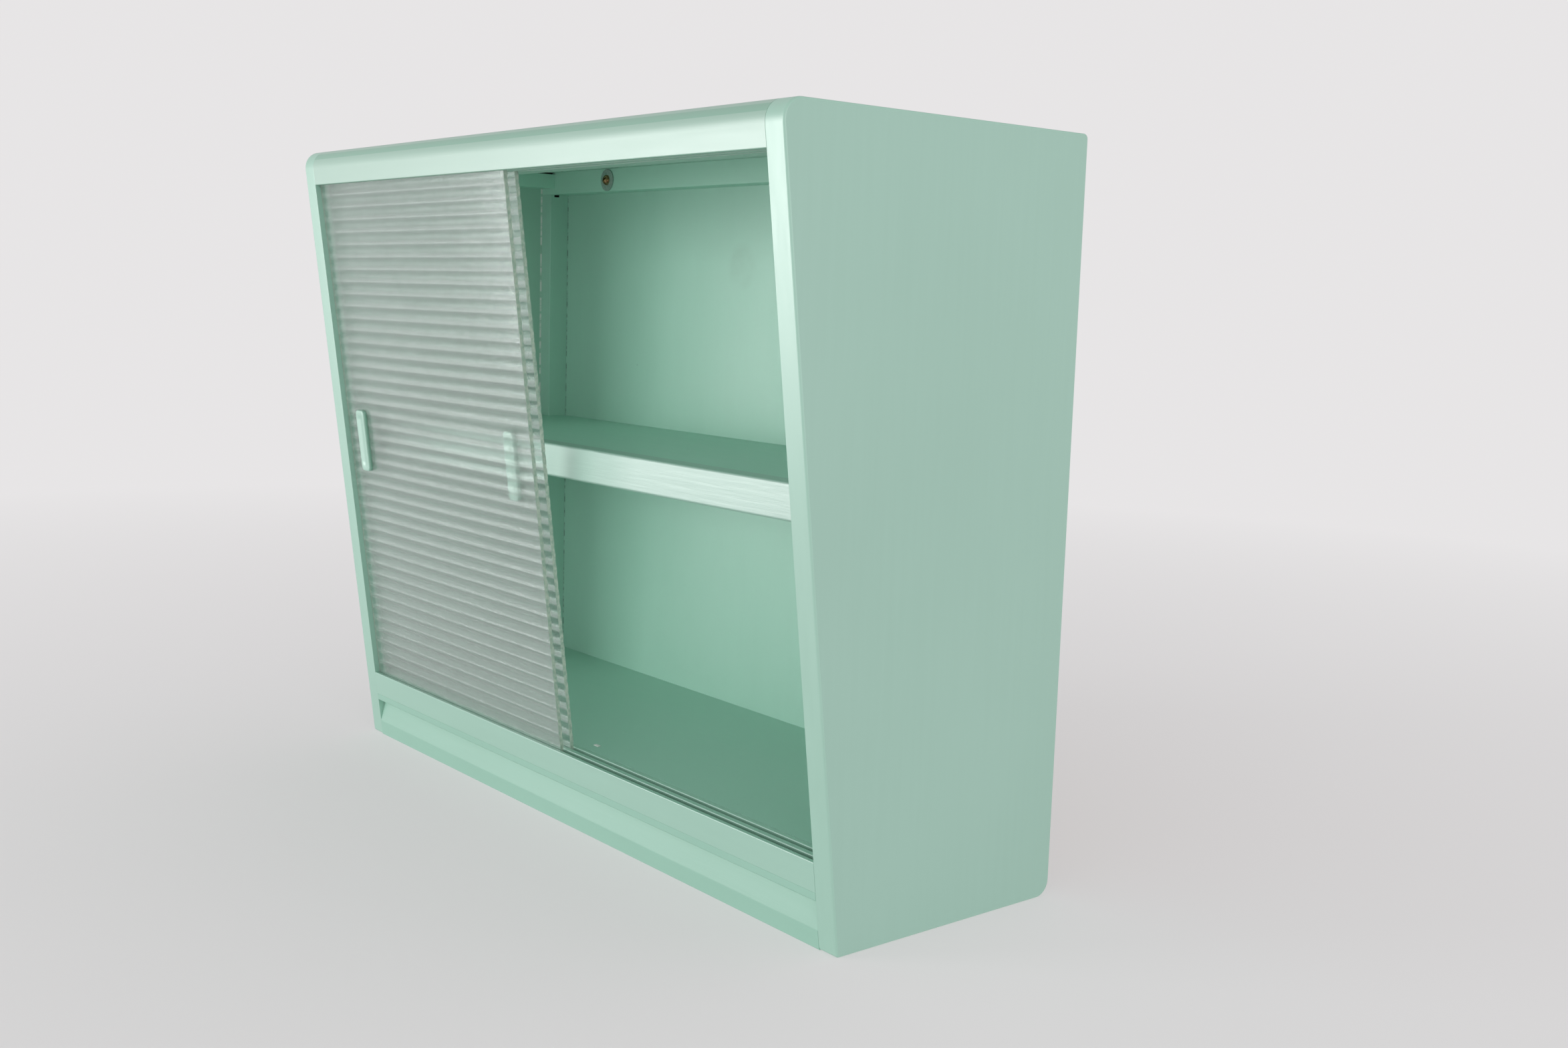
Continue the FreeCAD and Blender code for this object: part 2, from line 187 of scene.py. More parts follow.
mint_deep = (0.310, 0.551, 0.440, 1)
mint_pale = (0.325, 0.571, 0.459, 1)
# The outer sides' colours are a greyer copy of the mint: painted sheen, for the room light the lower gloss no
# longer reflects.
side_sheen_deep = (0.330, 0.530, 0.441, 1)
side_sheen_pale = (0.345, 0.549, 0.460, 1)
nib_colour = (0.16, 0.26, 0.21, 1)
paint_relief = 0.00015
side_gloss = 0.5
upright_marks = (170, 170, 7)


def mint_paint(name, marks, relief=paint_relief, deep=mint_deep, pale=mint_pale):
    """Satin paint with brush marks along one axis: marks gives how often they repeat along X, Y and Z."""
    material, tree, shader, place = new_finish(name)
    shader.inputs["Specular IOR Level"].default_value = 1.0
    shader.inputs["IOR"].default_value = 1.7
    drift = node(tree, "TexNoise", {"Vector": place, "Scale": 4.5, "Detail": 3.0}).outputs[0]
    laid = node(tree, "Mapping", {"Vector": place, "Scale": marks}).outputs[0]
    brush = node(tree, "TexNoise", {"Vector": laid, "Scale": 1.0, "Detail": 5.0, "Roughness": 0.6}).outputs[0]
    peel = node(tree, "TexNoise", {"Vector": place, "Scale": 900.0, "Detail": 2.0}).outputs[0]
    streak = stretch(tree, 0.3, 0.7, brush, 0.0, 0.25)
    share = node(tree, "Math", {0: drift, 1: streak}, operation="ADD").outputs[0]
    colour = blend_colours(tree, stretch(tree, 0.4, 0.85, share), deep, pale)
    cells = node(tree, "TexVoronoi", {"Vector": place, "Scale": 55.0})
    chance = node(tree, "SeparateColor", {0: cells.outputs["Color"]}).outputs[0]
    dot = stretch(tree, 0.055, 0.03, cells.outputs["Distance"])
    nib = both(tree, stretch(tree, 0.93, 0.95, chance), dot)
    faint = stretch(tree, 0.0, 1.0, nib, 0.0, 0.45)
    tree.links.new(blend_colours(tree, faint, colour, nib_colour), shader.inputs["Base Color"])
    tree.links.new(stretch(tree, 0.3, 0.7, brush, 0.37, 0.43), shader.inputs["Roughness"])
    ridges = node(tree, "Bump", {"Strength": 0.3, "Distance": relief, "Height": brush}).outputs[0]
    skin = node(tree, "Bump", {"Strength": 0.25, "Distance": 0.0001, "Height": peel, "Normal": ridges})
    tree.links.new(skin.outputs[0], shader.inputs["Normal"])
    return material


def set_gloss(material, amount):
    """Set how strongly a finish mirrors the light."""
    material.node_tree.nodes["Principled BSDF"].inputs["Specular IOR Level"].default_value = amount


def fit(piece, material, slot, body, *nodes):
    """Finish a piece: its material, the solids that it stands for and the body that carries it."""
    if piece.data.materials:
        piece.data.materials[0] = material
    else:
        piece.data.materials.append(material)
    if nodes:
        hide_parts(*nodes)
    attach(piece, body)


def second_finish(piece, material, test):
    """Give the faces that pass the test another finish."""
    piece.data.materials.append(material)
    for face in piece.data.polygons:
        if test(face):
            face.material_index = 1


def on_outer_side(face):
    return abs(face.normal.x) > 0.9 and abs(face.center.x) > inner_x + touch


upright_paint = mint_paint("mint paint, brushed upright", upright_marks)
cracked_paint = mint_paint("mint paint, cracked at the rear batten", upright_marks)
# Less glossy paint on the outer faces, its greyer colour a painted sheen.
side_sheen_paint = mint_paint("duller mint paint on the outer sides", upright_marks, paint_relief,
                        side_sheen_deep, side_sheen_pale)
set_gloss(side_sheen_paint, side_gloss)
for hand, finish in (("left", cracked_paint), ("right", upright_paint)):
    panel = side_panel(f"side_board_{hand}", f"side_panel_{hand}")
    fit(panel, finish, "painted_wood", "carcass", f"side_panel_{hand}")
    second_finish(panel, side_sheen_paint, on_outer_side)


def places(tree):
    """The coordinates of the piece that wears a material, whole and as X, Y and Z."""
    place = node(tree, "TexCoord").outputs["Object"]
    return place, node(tree, "SeparateXYZ", {0: place}).outputs


def band(tree, value, middle, half, edge):
    """A mask that is 1 near a value and falls to 0 within the edge."""
    off = node(tree, "Math", {0: value, 1: middle}, operation="SUBTRACT").outputs[0]
    away = node(tree, "Math", {0: off}, operation="ABSOLUTE").outputs[0]
    return stretch(tree, half + edge, half, away)


def upright_noise(tree, place, often):
    """Noise that changes only with height, for upright lines that come and go."""
    laid = node(tree, "Mapping", {"Vector": place, "Scale": (0, 0, often)}).outputs[0]
    return node(tree, "TexNoise", {"Vector": laid, "Scale": 1.0, "Detail": 4.0}).outputs[0]


def overpaint(material, share, colour):
    """Lay another colour over a painted material by a mask made in its tree."""
    tree = material.node_tree
    shader = tree.nodes["Principled BSDF"]
    under = shader.inputs["Base Color"].links[0].from_socket
    tree.links.new(blend_colours(tree, share, under, colour), shader.inputs["Base Color"])


undercoat = (0.80, 0.81, 0.78, 1)
crack_setback = 0.0011
crack_half_width = 0.0009
crack_edge = 0.0004
batten_low, batten_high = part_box("rear_batten_left")
shelf_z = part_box("shelf_board")[1].z
crack_tree = cracked_paint.node_tree
crack_place, crack_axes = places(crack_tree)
dash = stretch(crack_tree, 0.45, 0.52, upright_noise(crack_tree, crack_place, 100), 0.15, 1.0)
seam = band(crack_tree, crack_axes[1], batten_low.y - crack_setback, crack_half_width, crack_edge)
on_inner_face = band(crack_tree, crack_axes[0], -inner_x, 0.0006, 0.0001)
above_shelf = stretch(crack_tree, shelf_z, shelf_z + 0.01, crack_axes[2])
crack = both(crack_tree, both(crack_tree, dash, seam), both(crack_tree, on_inner_face, above_shelf))
overpaint(cracked_paint, crack, undercoat)

# Rear frame: a hanging rail under the top, a batten in each rear corner and a rail under the floor.
# All are planed softwood, screwed or dowelled to the sides and painted over, heads and all.
# The left batten has a chipped top end, lined near-black as painted shade, and an open joint where its paint
# has cracked.

frame_arris = 0.0007
screw_cover = 0.0002
# The inside colours are a paler copy of the mint: painted light.
inner_lit_deep = (0.336, 0.598, 0.484, 1)
inner_lit_pale = (0.352, 0.618, 0.503, 1)
inner_gloss = 0.45
level_marks = (7, 170, 170)


def inner_paint(name, marks, deep=inner_lit_deep, pale=inner_lit_pale):
    """The same paint inside the cabinet, duller, in a paler copy of the mint colours: painted light on the
    inside.
    """
    material = mint_paint(name, marks, paint_relief, deep, pale)
    set_gloss(material, inner_gloss)
    return material


def squared(low, high):
    """The Y, Z corners of a plain board between two points."""
    return [(low.y, low.z), (high.y, low.z), (high.y, high.z), (low.y, high.z)]


def dress(node_name, material):
    """Give a solid that is right as it stands its finish."""
    solid = frame["nodes"][node_name]
    solid.data.materials.clear()
    solid.data.materials.append(material)


def mottled(name, scale, dark, pale, roughness):
    """A plain finish whose colour wanders between two."""
    material, tree, shader, place = new_finish(name)
    shader.inputs["Roughness"].default_value = roughness
    cloud = node(tree, "TexNoise", {"Vector": place, "Scale": scale}).outputs[0]
    tree.links.new(blend_colours(tree, cloud, dark, pale), shader.inputs["Base Color"])
    return material


def notch(piece, low, high, shade_material):
    """Cut a small open gap out of a board, lined with a near-black material that paints the shade inside it.
    """
    cutter = board("gap", squared(low, high), low.x, high.x - low.x)
    cutter.data.materials.append(shade_material)
    piece.data.materials.append(None)
    piece.data.materials.append(shade_material)
    gap = piece.modifiers.new("Gap", "BOOLEAN")
    gap.object = cutter
    gap.solver = "EXACT"
    gap.material_mode = "TRANSFER"
    only(piece)
    bpy.ops.object.modifier_apply(modifier=gap.name)
    bpy.data.objects.remove(cutter)


def side_batten(name, low, high, side, on_free_edge):
    """A batten against one side, thick enough to bury its screws, with its free edge eased."""
    width = high.x - low.x
    inner_face = side * (inner_x - width - screw_cover)
    piece = board(name, squared(low, high), min(inner_face, side * inner_x), width + screw_cover)
    bevel(piece, lambda place: near(place.x, inner_face) and on_free_edge(place), frame_arris, 3)
    return piece, inner_face


# A still paler copy of the inside colours: painted light on the hanging rail, and on the top battens and
# shelf cleats.
painted_light_deep = (0.388, 0.690, 0.559, 1)
painted_light_pale = (0.404, 0.710, 0.578, 1)
hanging_paint = inner_paint("inner paint on the hanging rail", level_marks, painted_light_deep, painted_light_pale)
rail_low, rail_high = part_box("hanging_rail")
rail = board("hanging_board", squared(rail_low, rail_high), rail_low.x, rail_high.x - rail_low.x)
bevel(rail, at(rail_low.y, rail_low.z), frame_arris, 3)
smooth(rail)
fit(rail, hanging_paint, "painted_wood", "carcass", "hanging_rail")

# A near-black lining for the small gaps: painted shade inside them.
painted_shade_lining = mottled("dark gap", 800.0, (0.008, 0.010, 0.008, 1), (0.030, 0.034, 0.028, 1), 0.9)
batten_paint = inner_paint("inner paint, brushed upright", upright_marks)
chip_setback = 0.0075
chip_inward = Vector((0.006, 0.003, 0.0024))
chip_outward = Vector((0.001, 0.003, 0.001))
for hand, side in (("left", -1), ("right", 1)):
    low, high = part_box(f"rear_batten_{hand}")
    batten, inner_face = side_batten(f"corner_batten_{hand}", low, high, side,
                                     lambda place: near(place.y, low.y))
    if hand == "left":
        chip = Vector((inner_face, low.y + chip_setback, high.z))
        notch(batten, chip - chip_inward, chip + chip_outward, painted_shade_lining)
    smooth(batten)
    fit(batten, batten_paint, "painted_wood", "carcass", f"rear_batten_{hand}")

bare_light = (0.42, 0.29, 0.17, 1)
bare_dark = (0.27, 0.17, 0.09, 1)


def timber(tree, place, grain, distortion):
    """The rings of softwood with its grain along one axis, and their colour."""
    laid = node(tree, "Mapping", {"Vector": place, "Scale": grain}).outputs[0]
    sockets = {"Vector": laid, "Scale": 1.0, "Detail": 6.0, "Distortion": distortion}
    rings = node(tree, "TexNoise", sockets).outputs[0]
    return rings, blend_colours(tree, stretch(tree, 0.3, 0.7, rings), bare_dark, bare_light)


def bare_wood(name, grain):
    """Unpainted softwood."""
    material, tree, shader, place = new_finish(name)
    rings, colour = timber(tree, place, grain, 0.6)
    tree.links.new(colour, shader.inputs["Base Color"])
    tree.links.new(stretch(tree, 0.3, 0.7, rings, 0.55, 0.75), shader.inputs["Roughness"])
    relief = node(tree, "Bump", {"Strength": 0.3, "Distance": 0.0004, "Height": rings})
    tree.links.new(relief.outputs[0], shader.inputs["Normal"])
    return material


level_wood = bare_wood("bare wood, level grain", (5, 140, 140))
deep_wood = bare_wood("bare wood, grain front to back", (140, 5, 140))
dress("floor_rear_rail", level_wood)

# Back panel: thin plywood set between the sides, painted inside and left bare behind.
# It is nailed into the rear frame with small flat-head pins that sit flush.
# The paint is broken along the left batten and has one faint stain.


def along(tree, value, direction):
    """How far a place or a normal goes in one direction."""
    return node(tree, "VectorMath", {0: value, 1: direction}, operation="DOT_PRODUCT").outputs["Value"]


def bare_on(material, facing, grain):
    """Leave the faces of a painted panel that point one way in bare wood."""
    tree = material.node_tree
    shader = tree.nodes["Principled BSDF"]
    normal = node(tree, "NewGeometry").outputs["True Normal"]
    bare = stretch(tree, 0.5, 0.6, along(tree, normal, facing))
    colour = timber(tree, node(tree, "TexCoord").outputs["Object"], grain, 0.8)[1]
    overpaint(material, bare, colour)
    sheen = shader.inputs["Roughness"].links[0].from_socket
    dull = node(tree, "Mix", {0: bare, 2: sheen, 3: 0.7}, data_type="FLOAT").outputs[0]
    tree.links.new(dull, shader.inputs["Roughness"])


joint_colour = (0.06, 0.11, 0.08, 1)
joint_offset = 0.0006
joint_half_width = 0.0008
joint_edge = 0.0005
stain_colour = (0.27, 0.46, 0.37, 1)
stain_centre = (-0.028, batten_high.y, 0.498)
stain_radius = 0.024
stain_core = 0.016
back_paint = inner_paint("inner paint on the back panel", (60, 60, 12))
back_tree = back_paint.node_tree
back_place, back_axes = places(back_tree)
joint_x = batten_high.x + screw_cover + joint_offset
joint = band(back_tree, back_axes[0], joint_x, joint_half_width, joint_edge)
broken = stretch(back_tree, 0.44, 0.58, upright_noise(back_tree, back_place, 130), 0.0, 0.75)
overpaint(back_paint, both(back_tree, joint, broken), joint_colour)
off_centre = node(back_tree, "VectorMath", {0: back_place, 1: stain_centre}, operation="DISTANCE")
cloud = node(back_tree, "TexNoise", {"Vector": back_place, "Scale": 40.0, "Detail": 3.0}).outputs[0]
spot = stretch(back_tree, stain_radius, stain_core, off_centre.outputs["Value"])
overpaint(back_paint, both(back_tree, spot, stretch(back_tree, 0.3, 0.7, cloud, 0.1, 0.4)), stain_colour)
bare_on(back_paint, (0, 1, 0), (90, 90, 3))
dress("back_panel", back_paint)

# Front rails: the rail over the doors, the sill under them and the moulded apron below.
# They are hardwood, machined along their length: two deep grooves over the doors, two shallow ones
# under them, and a shadow step with a sloped face along the apron.

rail_arris = 0.0007
lip_arris = 0.0009
door_setback = 0.005
door_pitch = 0.0105
door_hold = 0.007
door_lift = 0.007
glass_base = 0.003
rib_height = 0.0009
groove_clearance = 0.0006
groove_starts = [door_setback + index * door_pitch - groove_clearance for index in range(2)]
groove_width = glass_base + rib_height + 2 * groove_clearance


def leaning(depth, rise):
    """Y, Z of a point so deep behind the leaning front and so far up it from its lower edge."""
    y = front_y(0) + depth * math.cos(lean) - rise * math.sin(lean)
    return y, depth * math.sin(lean) + rise * math.cos(lean)


def crossing(depth, z):
    """Y, Z where the plane so deep behind the leaning front crosses this height."""
    return leaning(depth, (z - depth * math.sin(lean)) / math.cos(lean))


def grooved(edge_z, floor_rise):
    """The Y, Z corners of both grooves, front to back, from a rail's edge to the grooves' floor."""
    corners = []
    for start in groove_starts:
        end = start + groove_width
        corners += [crossing(start, edge_z), leaning(start, floor_rise)]
        corners += [leaning(end, floor_rise), crossing(end, edge_z)]
    return corners


# The top rail's colours are a darker, greyer copy of the mint: painted shade, so that the rail's highlight
# reads whiter.
rail_shaded_deep = (0.297, 0.487, 0.393, 1)
rail_shaded_pale = (0.311, 0.505, 0.410, 1)
rail_relief = 0.0003
thin_relief = 0.00002
thin_gloss = 0.1
front_skin = 0.003
top_low, top_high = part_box("top_front_rail")
top_rebate = 0.012
top_panel_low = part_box("top_panel")[0]
groove_ceiling_rise = (top_low.z + door_hold) / math.cos(lean) + door_lift
outline = [(front_y(top_low.z), top_low.z)] + grooved(top_low.z, groove_ceiling_rise)
outline += [(top_high.y, top_low.z), (top_high.y, top_panel_low.z)]
outline += [(top_high.y - top_rebate, top_panel_low.z), (top_high.y - top_rebate, height)]
outline += [(front_y(height), height)]
top_rail = board("top_rail", outline, top_low.x, top_high.x - top_low.x)
bevel(top_rail, at(front_y(height), height), top_run, 12)
bevel(top_rail, at(front_y(top_low.z), top_low.z), rail_arris, 3)
smooth(top_rail)


def under_rail(face):
    """Whether a face of the top rail looks down, or lies in or behind its grooves."""
    middle = face.center
    behind = middle.y > front_y(middle.z) + front_skin and middle.z < top_panel_low.z
    return face.normal.z < -0.5 or behind


rail_paint = mint_paint("mint paint on the top rail", level_marks, rail_relief, rail_shaded_deep, rail_shaded_pale)
fit(top_rail, rail_paint, "painted_wood", "carcass", "top_front_rail")
# The faces under the rail take the same darker copy: painted shade.
thin_paint = mint_paint("thin dull paint under the top rail", (7, 40, 40), thin_relief, rail_shaded_deep, rail_shaded_pale)
set_gloss(thin_paint, thin_gloss)
second_finish(top_rail, thin_paint, under_rail)

sill_low, sill_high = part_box("sill_rail")
sill_groove_depth = 0.006
groove_floor_rise = (sill_high.z - sill_groove_depth) / math.cos(lean)
outline = [(front_y(sill_low.z), sill_low.z), (front_y(sill_high.z), sill_high.z)]
outline += grooved(sill_high.z, groove_floor_rise)
outline += [(sill_high.y, sill_high.z), (sill_high.y, sill_low.z)]
sill = board("sill", outline, sill_low.x, sill_high.x - sill_low.x)
bevel(sill, lambda place: near(place.z, sill_high.z) and abs(place.x) < inner_x + touch, lip_arris, 3)
smooth(sill)
sill_paint = mint_paint("mint paint on the sill", level_marks)
fit(sill, sill_paint, "painted_wood", "carcass", "sill_rail")

# The sill's grooves darken towards their floors, in patches.
groove_floor_colour = (0.045, 0.060, 0.045, 1)
darkening_top = sill_high.z - 0.0022
darkening_bottom = sill_high.z - 0.0058
darkening_front = front_y(sill_high.z) + front_skin
sill_tree = sill_paint.node_tree
sill_place, sill_axes = places(sill_tree)
sunk = stretch(sill_tree, darkening_top, darkening_bottom, sill_axes[2])
in_groove = stretch(sill_tree, darkening_front, darkening_front + 0.0005, sill_axes[1])
groove_noise = node(sill_tree, "TexNoise", {"Vector": sill_place, "Scale": 260.0, "Detail": 5.0}).outputs[0]
patches = stretch(sill_tree, 0.38, 0.62, groove_noise, 0.25, 0.95)
overpaint(sill_paint, both(sill_tree, both(sill_tree, sunk, patches), in_groove), groove_floor_colour)

apron_low, apron_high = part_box("apron_moulding")
apron_thickness = 0.018
apron_gloss = 0.35
fillet_height = 0.0066
step_depth = 0.007
step_slope = 0.001
foot_height = 0.015
slot_height = 0.0026
slot_back = 0.0012
fillet_bottom = apron_high.z - fillet_height
step_bottom = fillet_bottom - step_slope
slot_low = step_bottom - slot_height
slope_share = (slot_low - foot_height) / (step_bottom - foot_height)
outline = [(front_y(0), 0), (front_y(foot_height), foot_height),
           (front_y(slot_low) + slope_share * step_depth, slot_low),
           (front_y(slot_low) + step_depth + slot_back, slot_low),
           (front_y(fillet_bottom) + step_depth + slot_back, fillet_bottom),
           (front_y(fillet_bottom), fillet_bottom),
           (front_y(apron_high.z), apron_high.z), (front_y(apron_high.z) + apron_thickness, apron_high.z),
           (front_y(0) + apron_thickness, 0)]
apron = board("apron", outline, apron_low.x, apron_high.x - apron_low.x)
for edge_z in (apron_high.z, fillet_bottom, foot_height, 0):
    bevel(apron, at(front_y(edge_z), edge_z), rail_arris, 3)
smooth(apron, 25)
apron_paint = mint_paint("mint paint on the apron, worn dull", level_marks, rail_relief)
set_gloss(apron_paint, apron_gloss)
fit(apron, apron_paint, "painted_wood", "carcass", "apron_moulding")

# Top: a thin plywood panel let in behind the front rail, on a batten along each side.
# The battens are screwed to the sides. The left one stands a little off the panel near its rear end, and the
# opening is lined near-black as painted shade.

dress("top_panel", mint_paint("mint paint on the top panel", (14, 60, 60)))
# The top battens and shelf cleats share the hanging rail's paler colours: painted light.
deep_paint = inner_paint("inner paint, brushed front to back", (170, 7, 170), painted_light_deep, painted_light_pale)
opening_inward = Vector((0.005, 0.024, 0.0018))
opening_outward = Vector((0.001, 0.001, 0.001))
for hand, side in (("left", -1), ("right", 1)):
    low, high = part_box(f"top_batten_{hand}")
    batten, inner_face = side_batten(f"ceiling_batten_{hand}", low, high, side,
                                     lambda place: near(place.z, low.z))
    if hand == "left":
        end = Vector((inner_face, high.y, high.z))
        notch(batten, end - opening_inward, end + opening_outward, painted_shade_lining)
    smooth(batten)
    fit(batten, deep_paint, "painted_wood", "carcass", f"top_batten_{hand}")

# Floor: a thin board behind the sill, a little higher at the back, on a cleat along each side.
# It is painted on top and bare underneath, like the cleats. A loose flake of paint lies on it.

floor_paint = inner_paint("inner paint on the floor", (7, 120, 120))
bare_on(floor_paint, (0, 0, -1), (4, 90, 90))
dress("floor_panel", floor_paint)
for hand in ("left", "right"):
    dress(f"floor_cleat_{hand}", deep_wood)

flake_paint = mottled("paint flake", 700.0, (0.60, 0.66, 0.62, 1), (0.78, 0.80, 0.77, 1), 0.5)
flake_x = 0.0125
flake_y = -0.047
flake_length = 0.0070
flake_arris = 0.0003
floor_slope_rise = 0.0065
floor_low, floor_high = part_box("floor_panel")
flake_share = (flake_y - floor_low.y) / (floor_high.y - floor_low.y)
flake_z = floor_high.z - floor_slope_rise + floor_slope_rise * flake_share
flake_outline = [(flake_y - 0.0020, flake_z), (flake_y + 0.0018, flake_z),
                 (flake_y + 0.0010, flake_z + 0.0008), (flake_y - 0.0014, flake_z + 0.0005)]
flake = board("paint_flake", flake_outline, flake_x - flake_length / 2, flake_length)
bevel(flake, lambda place: place.x > flake_x, flake_arris, 1)
fit(flake, flake_paint, "painted_wood", "carcass")

# Shelf: one fixed board notched round the rear battens, with a deep lipping glued to its front edge.
# A cleat at each end carries it. The lipping's arrises are well rounded under the paint.

lipping_arris = 0.0022
lipping_relief = 0.0006
# The shelf's colours are a paler copy of the inner paint: painted light on the shelf top.
shelf_lit_deep = (0.366, 0.652, 0.528, 1)
shelf_lit_pale = (0.382, 0.672, 0.547, 1)
# The lipping's colours are a darker, greyer copy of the mint: painted shade, so that its highlight reads
# whiter.
lipping_shaded_deep = (0.305, 0.500, 0.415, 1)
lipping_shaded_pale = (0.318, 0.518, 0.432, 1)
dress("shelf_board", inner_paint("inner paint on the shelf", (7, 120, 120), shelf_lit_deep, shelf_lit_pale))
for hand in ("left", "right"):
    dress(f"shelf_cleat_{hand}", deep_paint)
lip_low, lip_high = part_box("shelf_lipping")
lipping = board("shelf_front", squared(lip_low, lip_high), lip_low.x, lip_high.x - lip_low.x)
bevel(lipping, at(lip_low.y, lip_low.z), lipping_arris, 5)
bevel(lipping, at(lip_low.y, lip_high.z), lipping_arris, 5)
smooth(lipping)
lipping_paint = mint_paint("mint paint on the shelf edge", (12, 260, 260), lipping_relief,
                           lipping_shaded_deep, lipping_shaded_pale)
fit(lipping, lipping_paint, "painted_wood", "carcass", "shelf_lipping")

# Fixings: dowels, countersunk screws and flat-head pins, all sunk in the boards.
# The dowels are beech and the metal is dull zinc-plated steel, cloudy and lightly scratched.


def worn_metal(name, bright, dull, smoothest, roughest):
    """Old metal whose tarnish makes it cloudy, in colour and in gloss."""
    material, tree, shader, place = new_finish(name)
    shader.inputs["Metallic"].default_value = 1.0
    tarnish = node(tree, "TexNoise", {"Vector": place, "Scale": 500.0, "Detail": 5.0}).outputs[0]
    spread = stretch(tree, 0.35, 0.65, tarnish)
    tree.links.new(blend_colours(tree, spread, dull, bright), shader.inputs["Base Color"])
    tree.links.new(stretch(tree, 0.35, 0.65, tarnish, roughest, smoothest), shader.inputs["Roughness"])
    return material


zinc = worn_metal("dull zinc plate", (0.50, 0.52, 0.50, 1), (0.30, 0.33, 0.31, 1), 0.32, 0.55)
dress("rail_dowels", level_wood)
dress("batten_screws", zinc)
dress("back_panel_pins", zinc)
dress("top_panel_pins", zinc)

# Wall fixing: two round-head brass screws through the hanging rail, each on a large flat washer.
# The head is a turned dome with a slot, and its shank runs on through the back panel.

brass = worn_metal("tarnished brass", (0.62, 0.38, 0.20, 1), (0.20, 0.10, 0.05, 1), 0.12, 0.30)
washer_metal = worn_metal("dull washer plate", (0.34, 0.46, 0.41, 1), (0.25, 0.37, 0.32, 1), 0.38, 0.60)
washer_metal.node_tree.nodes["Principled BSDF"].inputs["Metallic"].default_value = 0.25
dress("hanging_washers", washer_metal)
head_radius = 0.0052
head_height = 0.0042
shank_radius = 0.0024
shank_reach = 0.008
slot_width = 0.0011
slot_depth = 0.0015
hanging = next(mount for mount in frame["record"]["mounts"] if mount["name"] == "wall_screws")
screw_x = hanging["dims"]["spacing_x_mm"] / 2000
screw_z = hanging["pos_m"][2]
washer_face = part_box("hanging_washers")[0].y
shank_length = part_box("back_panel")[1].y + shank_reach - washer_face


def wall_screw(name, x, slot_turn):
    """A domed head cut from a ball and slotted, joined to its shank and turned into the wall."""
    bpy.ops.object.select_all(action="DESELECT")
    bpy.ops.mesh.primitive_uv_sphere_add(segments=48, ring_count=24, radius=1)
    screw = bpy.context.object
    screw.name = screw.data.name = name
    bpy.ops.object.mode_set(mode="EDIT")
    bpy.ops.mesh.select_all(action="SELECT")
    bpy.ops.mesh.bisect(plane_co=(0, 0, 0), plane_no=(0, 0, 1), clear_inner=True, use_fill=True)
    bpy.ops.object.mode_set(mode="OBJECT")
    screw.scale = (head_radius, head_radius, head_height)
    bpy.ops.object.transform_apply(scale=True)
    bpy.ops.mesh.primitive_cube_add(size=1, location=(0, 0, head_height), rotation=(0, 0, slot_turn))
    blade = bpy.context.object
    blade.scale = (3 * head_radius, slot_width, 2 * slot_depth)
    cut = screw.modifiers.new("Slot", "BOOLEAN")
    cut.object = blade
    cut.solver = "EXACT"
    only(screw)
    bpy.ops.object.modifier_apply(modifier=cut.name)
    bpy.data.objects.remove(blade)
    bpy.ops.mesh.primitive_cylinder_add(vertices=24, radius=shank_radius, depth=shank_length,
                                        location=(0, 0, -shank_length / 2))
    screw.select_set(True)
    bpy.context.view_layer.objects.active = screw
    bpy.ops.object.join()
    screw.rotation_euler = (math.pi / 2, 0, 0)
    screw.location = (x, washer_face, screw_z)
    only(screw)
    bpy.ops.object.transform_apply(location=True, rotation=True)
    bpy.ops.object.shade_smooth_by_angle(angle=math.radians(35))
    fit(screw, brass, "screw_steel", "carcass")


wall_screw("wall_screw_left", -screw_x, math.radians(35))
wall_screw("wall_screw_right", screw_x, math.radians(-15))

# Sliding doors: two panes of cast glass, smooth in front and ribbed level behind, with cut edges.
# Each stands in its own pair of grooves and follows the leaning front. The glass is frosted in a
# band along each rib, and a little more on the rear pane.

rib_pitch = 0.012
rib_rise = 0.00062
rib_steps = 10
glass_tint = (0.70, 0.755, 0.73, 1)
glass_pale = (0.74, 0.795, 0.77, 1)
front_frosted, rear_frosted = 0.88, 0.70
front_clear, rear_clear = 0.96, 0.97


def pane(name, node_name, index):
    """A leaning pane: a flat front, and shallow arcs for the ribs behind."""
    low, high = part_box(node_name)
    face = door_setback + index * door_pitch
    bottom = (low.z - face * math.sin(lean)) / math.cos(lean)
    top = (high.z - (face + glass_base) * math.sin(lean)) / math.cos(lean)
    ribs = math.floor((top - bottom) / rib_pitch)
    margin = (top - bottom - ribs * rib_pitch) / 2
    radius = (rib_pitch ** 2 / 4 + rib_rise ** 2) / (2 * rib_rise)
    half_turn = math.asin(rib_pitch / 2 / radius)
    outline = [leaning(face, bottom), leaning(face, top), leaning(face + glass_base, top)]
    for rib in reversed(range(ribs)):
        middle = bottom + margin + (rib + 0.5) * rib_pitch
        for step in range(rib_steps):
            turn = half_turn * (1 - 2 * step / rib_steps)
            depth = face + glass_base + rib_rise - radius * (1 - math.cos(turn))
            outline.append(leaning(depth, middle + radius * math.sin(turn)))
    outline.append(leaning(face + glass_base, bottom + margin))
    outline.append(leaning(face + glass_base, bottom))
    piece = board(name, outline, low.x, high.x - low.x)
    only(piece)
    bpy.ops.object.shade_smooth_by_angle(angle=math.radians(25))
    return piece


